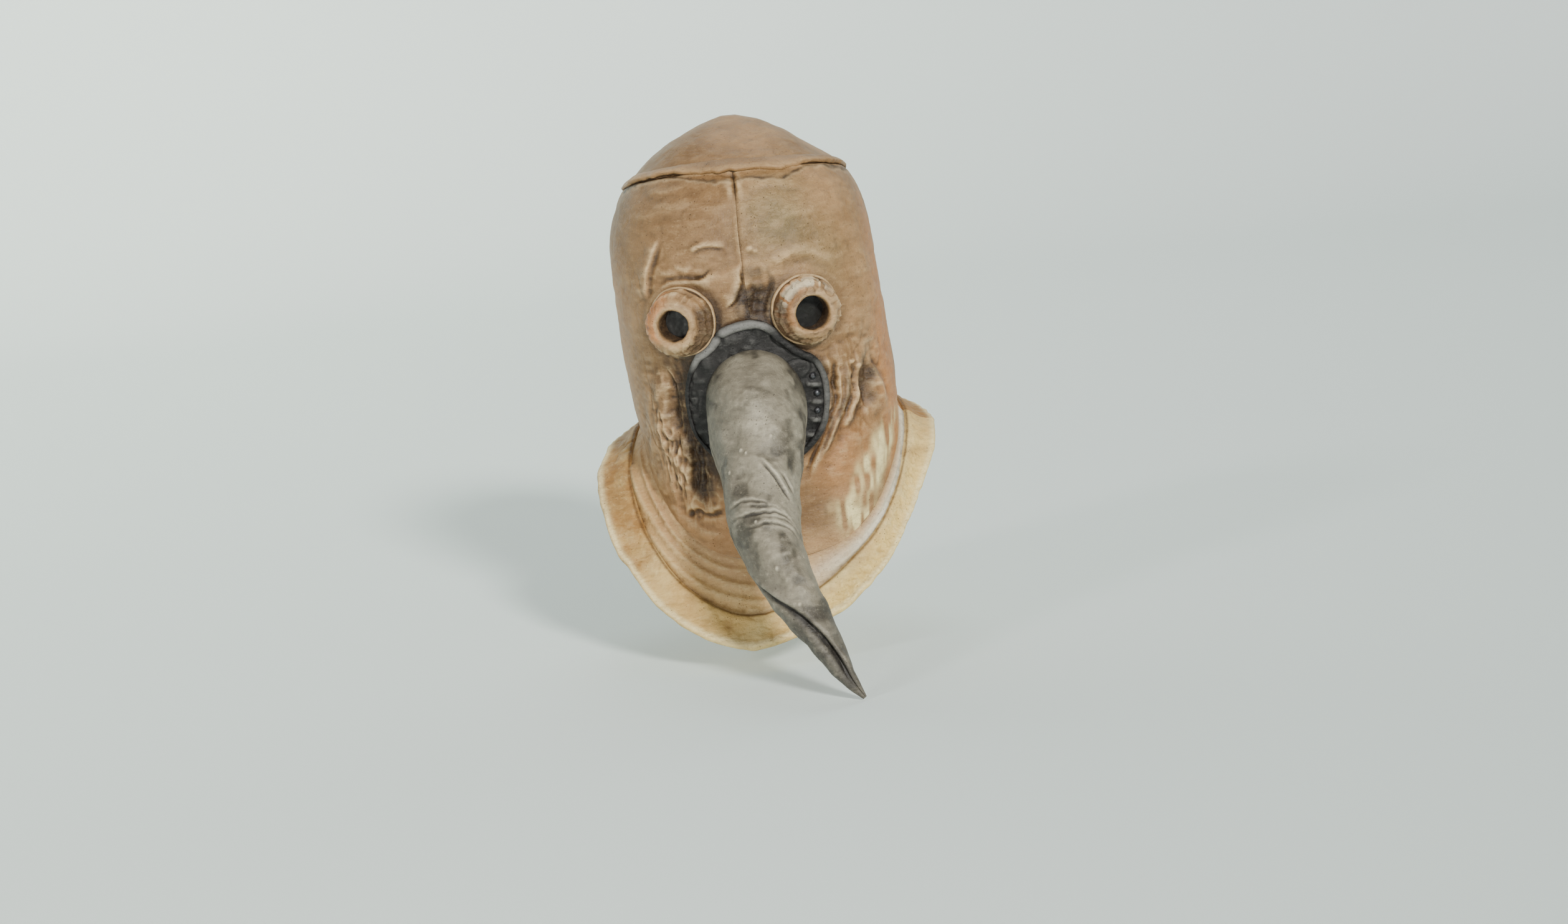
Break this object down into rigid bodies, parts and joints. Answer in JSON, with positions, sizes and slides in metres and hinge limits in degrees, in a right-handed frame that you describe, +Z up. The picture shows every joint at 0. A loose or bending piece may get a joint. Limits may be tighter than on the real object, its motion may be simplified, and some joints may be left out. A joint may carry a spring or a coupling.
{
  "type": "plague doctor mask",
  "caption": "Leather hood mask with two goggle eye cups, a dark plate carrying a long curved hollow beak, and a wide flared collar with a thick hem.",
  "frame": {"origin": "centre of the head cavity, 6 mm above the line through the two eye cups", "axes": "+Z up, -Y the way the wearer looks, +X the wearer's left"},
  "size_m": [0.263, 0.3698, 0.4019],
  "materials": {
    "hood_leather": "thick tan vegetable-tanned leather, dry, creased and darkened in its folds",
    "lining_cloth": "unbleached linen, plain weave",
    "pad_leather": "soft brown leather over wool stuffing",
    "gasket_leather": "thin black leather washer",
    "old_brass": "dull aged brass",
    "smoked_glass": "very dark smoked glass",
    "plate_leather": "near-black waxed leather",
    "bead_leather": "grey waxed leather, rolled over a cord",
    "beak_leather": "mid-grey waxed leather with fine grain and creases",
    "dark_iron": "blackened iron",
    "screen_leather": "stiff brown sole leather",
    "sachet_linen": "coarse undyed linen",
    "collar_leather": "pale ivory leather with whitish rubbed streaks",
    "hem_leather": "pale golden suede with a short nap and an open grain",
    "toggle_horn": "polished dark horn"
  },
  "bodies": {
    "mask": {"back_gusset": "hood_leather", "back_panel_left": "hood_leather", "back_panel_right": "hood_leather", "beak_lower": "beak_leather", "beak_plate": "plate_leather", "beak_upper": "beak_leather", "closure_tab_lower": "hood_leather", "closure_tab_upper": "hood_leather", "collar_back_left": "collar_leather", "collar_back_right": "collar_leather", "collar_front": "collar_leather", "crown_edge_band": "hood_leather", "crown_panel": "hood_leather", "crown_seam_tape": "lining_cloth", "eye_cup_left": "hood_leather", "eye_cup_right": "hood_leather", "eye_flange_left": "hood_leather", "eye_flange_right": "hood_leather", "forehead_seam_tape": "lining_cloth", "front_panel_left": "hood_leather", "front_panel_right": "hood_leather", "head_ring_pad": "pad_leather", "hem_back_left": "hem_leather", "hem_back_right": "hem_leather", "hem_front": "hem_leather", "herb_sachet": "sachet_linen", "hood_lining": "lining_cloth", "lens_gasket_left": "gasket_leather", "lens_gasket_right": "gasket_leather", "lens_keeper_left": "old_brass", "lens_keeper_right": "old_brass", "lens_left": "smoked_glass", "lens_right": "smoked_glass", "neck_seam_tape": "lining_cloth", "nose_pad": "pad_leather", "nose_screen": "screen_leather", "plate_bead": "bead_leather", "plate_rivet_burrs": "dark_iron", "plate_rivets": "dark_iron", "side_seam_tape_left": "lining_cloth", "side_seam_tape_right": "lining_cloth", "tab_rivet_burrs": "old_brass", "tab_rivets": "old_brass", "toggle_post_lower": "old_brass", "toggle_post_upper": "old_brass"},
    "toggle_upper": {"toggle_upper": "toggle_horn"},
    "toggle_lower": {"toggle_lower": "toggle_horn"}
  },
  "joints": [
    {"name": "toggle_upper_turn", "type": "hinge", "parent": "mask", "child": "toggle_upper", "pos_m": [0.01876, 0.12223, 0.0151], "axis": [0.143, 0.9896, 0.0179], "range_deg": [0, 90]},
    {"name": "toggle_lower_turn", "type": "hinge", "parent": "mask", "child": "toggle_lower", "pos_m": [0.01856, 0.11775, -0.03607], "axis": [0.1052, 0.9738, -0.2016], "range_deg": [0, 90]}
  ]
}
